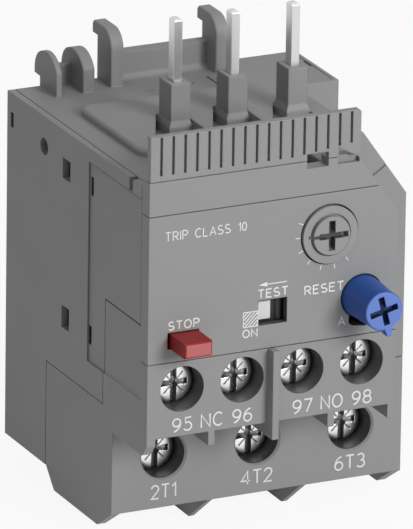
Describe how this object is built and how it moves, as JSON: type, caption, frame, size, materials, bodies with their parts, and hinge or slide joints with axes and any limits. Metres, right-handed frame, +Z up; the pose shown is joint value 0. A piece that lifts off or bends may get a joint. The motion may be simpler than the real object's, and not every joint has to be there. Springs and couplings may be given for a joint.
{
  "type": "thermal overload relay",
  "caption": "Plug-on three-pole thermal overload relay with screw terminals, setting dial, reset knob, stop and test buttons and contactor blades.",
  "frame": {"origin": "middle of the whole part's box, at the height of its lowest point (the partitions between the cable entries)", "axes": "+X to the right seen from the front, +Y towards the back, +Z up towards the contactor blades"},
  "size_m": [0.045, 0.056, 0.0716],
  "materials": {
    "case_grey": "fine matt moulded grey",
    "inner_plastic": "natural moulded",
    "black_plastic": "satin black",
    "white_flag": "satin white",
    "dial_grey": "satin light grey",
    "red_button": "satin red",
    "blue_knob": "satin blue",
    "nickel": "nickel plated",
    "tinned_copper": "bright tinned",
    "zinc_steel": "zinc plated",
    "brass": "plain rolled",
    "bimetal": "rolled strip",
    "heater_winding": "glass sleeved winding",
    "spring_steel": "drawn wire"
  },
  "bodies": {
    "frame": {"housing": "case_grey", "side_cover": "case_grey", "terminal_block": "case_grey", "front_plate": "case_grey", "label_strip": "case_grey", "grip_plate": "case_grey", "contact_blade_1": "tinned_copper", "bimetal_1": "bimetal", "heater_1": "heater_winding", "load_bar_1": "tinned_copper", "contact_blade_2": "tinned_copper", "bimetal_2": "bimetal", "heater_2": "heater_winding", "load_bar_2": "tinned_copper", "contact_blade_3": "tinned_copper", "bimetal_3": "bimetal", "heater_3": "heater_winding", "load_bar_3": "tinned_copper", "nc_bar_1": "brass", "nc_bar_2": "brass", "no_bar_1": "brass", "no_bar_2": "brass", "reset_spring": "spring_steel"},
    "load_screw_1": {"load_screw_1": "nickel"},
    "load_clamp_1": {"load_clamp_1": "zinc_steel"},
    "load_screw_2": {"load_screw_2": "nickel"},
    "load_clamp_2": {"load_clamp_2": "zinc_steel"},
    "load_screw_3": {"load_screw_3": "nickel"},
    "load_clamp_3": {"load_clamp_3": "zinc_steel"},
    "aux_screw_1": {"aux_screw_1": "nickel"},
    "aux_clamp_1": {"aux_clamp_1": "zinc_steel"},
    "aux_screw_2": {"aux_screw_2": "nickel"},
    "aux_clamp_2": {"aux_clamp_2": "zinc_steel"},
    "aux_screw_3": {"aux_screw_3": "nickel"},
    "aux_clamp_3": {"aux_clamp_3": "zinc_steel"},
    "aux_screw_4": {"aux_screw_4": "nickel"},
    "aux_clamp_4": {"aux_clamp_4": "zinc_steel"},
    "trip_bar": {"trip_bar": "inner_plastic"},
    "trip_lever": {"trip_lever": "inner_plastic"},
    "contact_carrier": {"contact_carrier": "inner_plastic", "nc_bridge": "brass", "no_bridge": "brass"},
    "current_dial": {"current_dial": "dial_grey"},
    "reset_stem": {"reset_stem": "black_plastic"},
    "reset_knob": {"reset_knob": "blue_knob"},
    "stop_button": {"stop_button": "red_button"},
    "test_slider": {"test_slider": "black_plastic", "test_flag": "white_flag"}
  },
  "joints": [
    {"name": "load_screw_1_turn", "type": "hinge", "parent": "frame", "child": "load_screw_1", "pos_m": [-0.01452, -0.00685, 0.01218], "axis": [0, 1, 0], "range_deg": [0, 1852]},
    {"name": "load_clamp_1_lift", "type": "slide", "parent": "frame", "child": "load_clamp_1", "axis": [0, -1, 0], "range_m": [0, 0.0036]},
    {"name": "load_screw_2_turn", "type": "hinge", "parent": "frame", "child": "load_screw_2", "pos_m": [0, -0.00685, 0.01218], "axis": [0, 1, 0], "range_deg": [0, 1852]},
    {"name": "load_clamp_2_lift", "type": "slide", "parent": "frame", "child": "load_clamp_2", "axis": [0, -1, 0], "range_m": [0, 0.0036]},
    {"name": "load_screw_3_turn", "type": "hinge", "parent": "frame", "child": "load_screw_3", "pos_m": [0.01452, -0.00685, 0.01218], "axis": [0, 1, 0], "range_deg": [0, 1852]},
    {"name": "load_clamp_3_lift", "type": "slide", "parent": "frame", "child": "load_clamp_3", "axis": [0, -1, 0], "range_m": [0, 0.0036]},
    {"name": "aux_screw_1_turn", "type": "hinge", "parent": "frame", "child": "aux_screw_1", "pos_m": [-0.01717, -0.01825, 0.02637], "axis": [0, 1, 0], "range_deg": [0, 841]},
    {"name": "aux_clamp_1_lift", "type": "slide", "parent": "frame", "child": "aux_clamp_1", "axis": [0, -1, 0], "range_m": [0, 0.0014]},
    {"name": "aux_screw_2_turn", "type": "hinge", "parent": "frame", "child": "aux_screw_2", "pos_m": [-0.00797, -0.01825, 0.02637], "axis": [0, 1, 0], "range_deg": [0, 841]},
    {"name": "aux_clamp_2_lift", "type": "slide", "parent": "frame", "child": "aux_clamp_2", "axis": [0, -1, 0], "range_m": [0, 0.0014]},
    {"name": "aux_screw_3_turn", "type": "hinge", "parent": "frame", "child": "aux_screw_3", "pos_m": [0.00122, -0.01825, 0.02637], "axis": [0, 1, 0], "range_deg": [0, 841]},
    {"name": "aux_clamp_3_lift", "type": "slide", "parent": "frame", "child": "aux_clamp_3", "axis": [0, -1, 0], "range_m": [0, 0.0014]},
    {"name": "aux_screw_4_turn", "type": "hinge", "parent": "frame", "child": "aux_screw_4", "pos_m": [0.01043, -0.01825, 0.02637], "axis": [0, 1, 0], "range_deg": [0, 841]},
    {"name": "aux_clamp_4_lift", "type": "slide", "parent": "frame", "child": "aux_clamp_4", "axis": [0, -1, 0], "range_m": [0, 0.0014]},
    {"name": "trip_bar_slide", "type": "slide", "parent": "frame", "child": "trip_bar", "axis": [1, 0, 0], "range_m": [0, 0.002]},
    {"name": "trip_lever_swing", "type": "hinge", "parent": "frame", "child": "trip_lever", "pos_m": [0.0165, -0.00165, 0.0335], "axis": [0, -1, 0], "range_deg": [0, 19]},
    {"name": "contact_carrier_slide", "type": "slide", "parent": "frame", "child": "contact_carrier", "axis": [0, 1, 0], "range_m": [0, 0.0015]},
    {"name": "current_dial_turn", "type": "hinge", "parent": "frame", "child": "current_dial", "pos_m": [0.0051, -0.02105, 0.04595], "axis": [0, 1, 0], "range_deg": [-70, 75]},
    {"name": "reset_press", "type": "slide", "parent": "frame", "child": "reset_stem", "axis": [0, 1, 0], "range_m": [0, 0.0025], "stiffness_N_per_m": 200, "springref_m": -0.001, "deforming": ["reset_spring"]},
    {"name": "reset_knob_turn", "type": "hinge", "parent": "reset_stem", "child": "reset_knob", "pos_m": [0.0103, -0.02105, 0.03615], "axis": [0, 1, 0], "range_deg": [0, 60]},
    {"name": "stop_press", "type": "slide", "parent": "frame", "child": "stop_button", "axis": [0, 1, 0], "range_m": [0, 0.0024], "stiffness_N_per_m": 150, "springref_m": -0.001},
    {"name": "test_slide", "type": "slide", "parent": "frame", "child": "test_slider", "axis": [-1, 0, 0], "range_m": [0, 0.0018], "stiffness_N_per_m": 120, "springref_m": -0.0008}
  ],
  "couplings": [
    {"joint": "load_screw_1_turn", "follows": "load_clamp_1_lift", "rad_per_m": 8976},
    {"joint": "load_screw_2_turn", "follows": "load_clamp_2_lift", "rad_per_m": 8976},
    {"joint": "load_screw_3_turn", "follows": "load_clamp_3_lift", "rad_per_m": 8976},
    {"joint": "aux_screw_1_turn", "follows": "aux_clamp_1_lift", "rad_per_m": 10472},
    {"joint": "aux_screw_2_turn", "follows": "aux_clamp_2_lift", "rad_per_m": 10472},
    {"joint": "aux_screw_3_turn", "follows": "aux_clamp_3_lift", "rad_per_m": 10472},
    {"joint": "aux_screw_4_turn", "follows": "aux_clamp_4_lift", "rad_per_m": 10472},
    {"joint": "trip_lever_swing", "follows": "trip_bar_slide", "rad_per_m": 163.93},
    {"joint": "contact_carrier_slide", "follows": "trip_bar_slide", "ratio": 0.75}
  ]
}
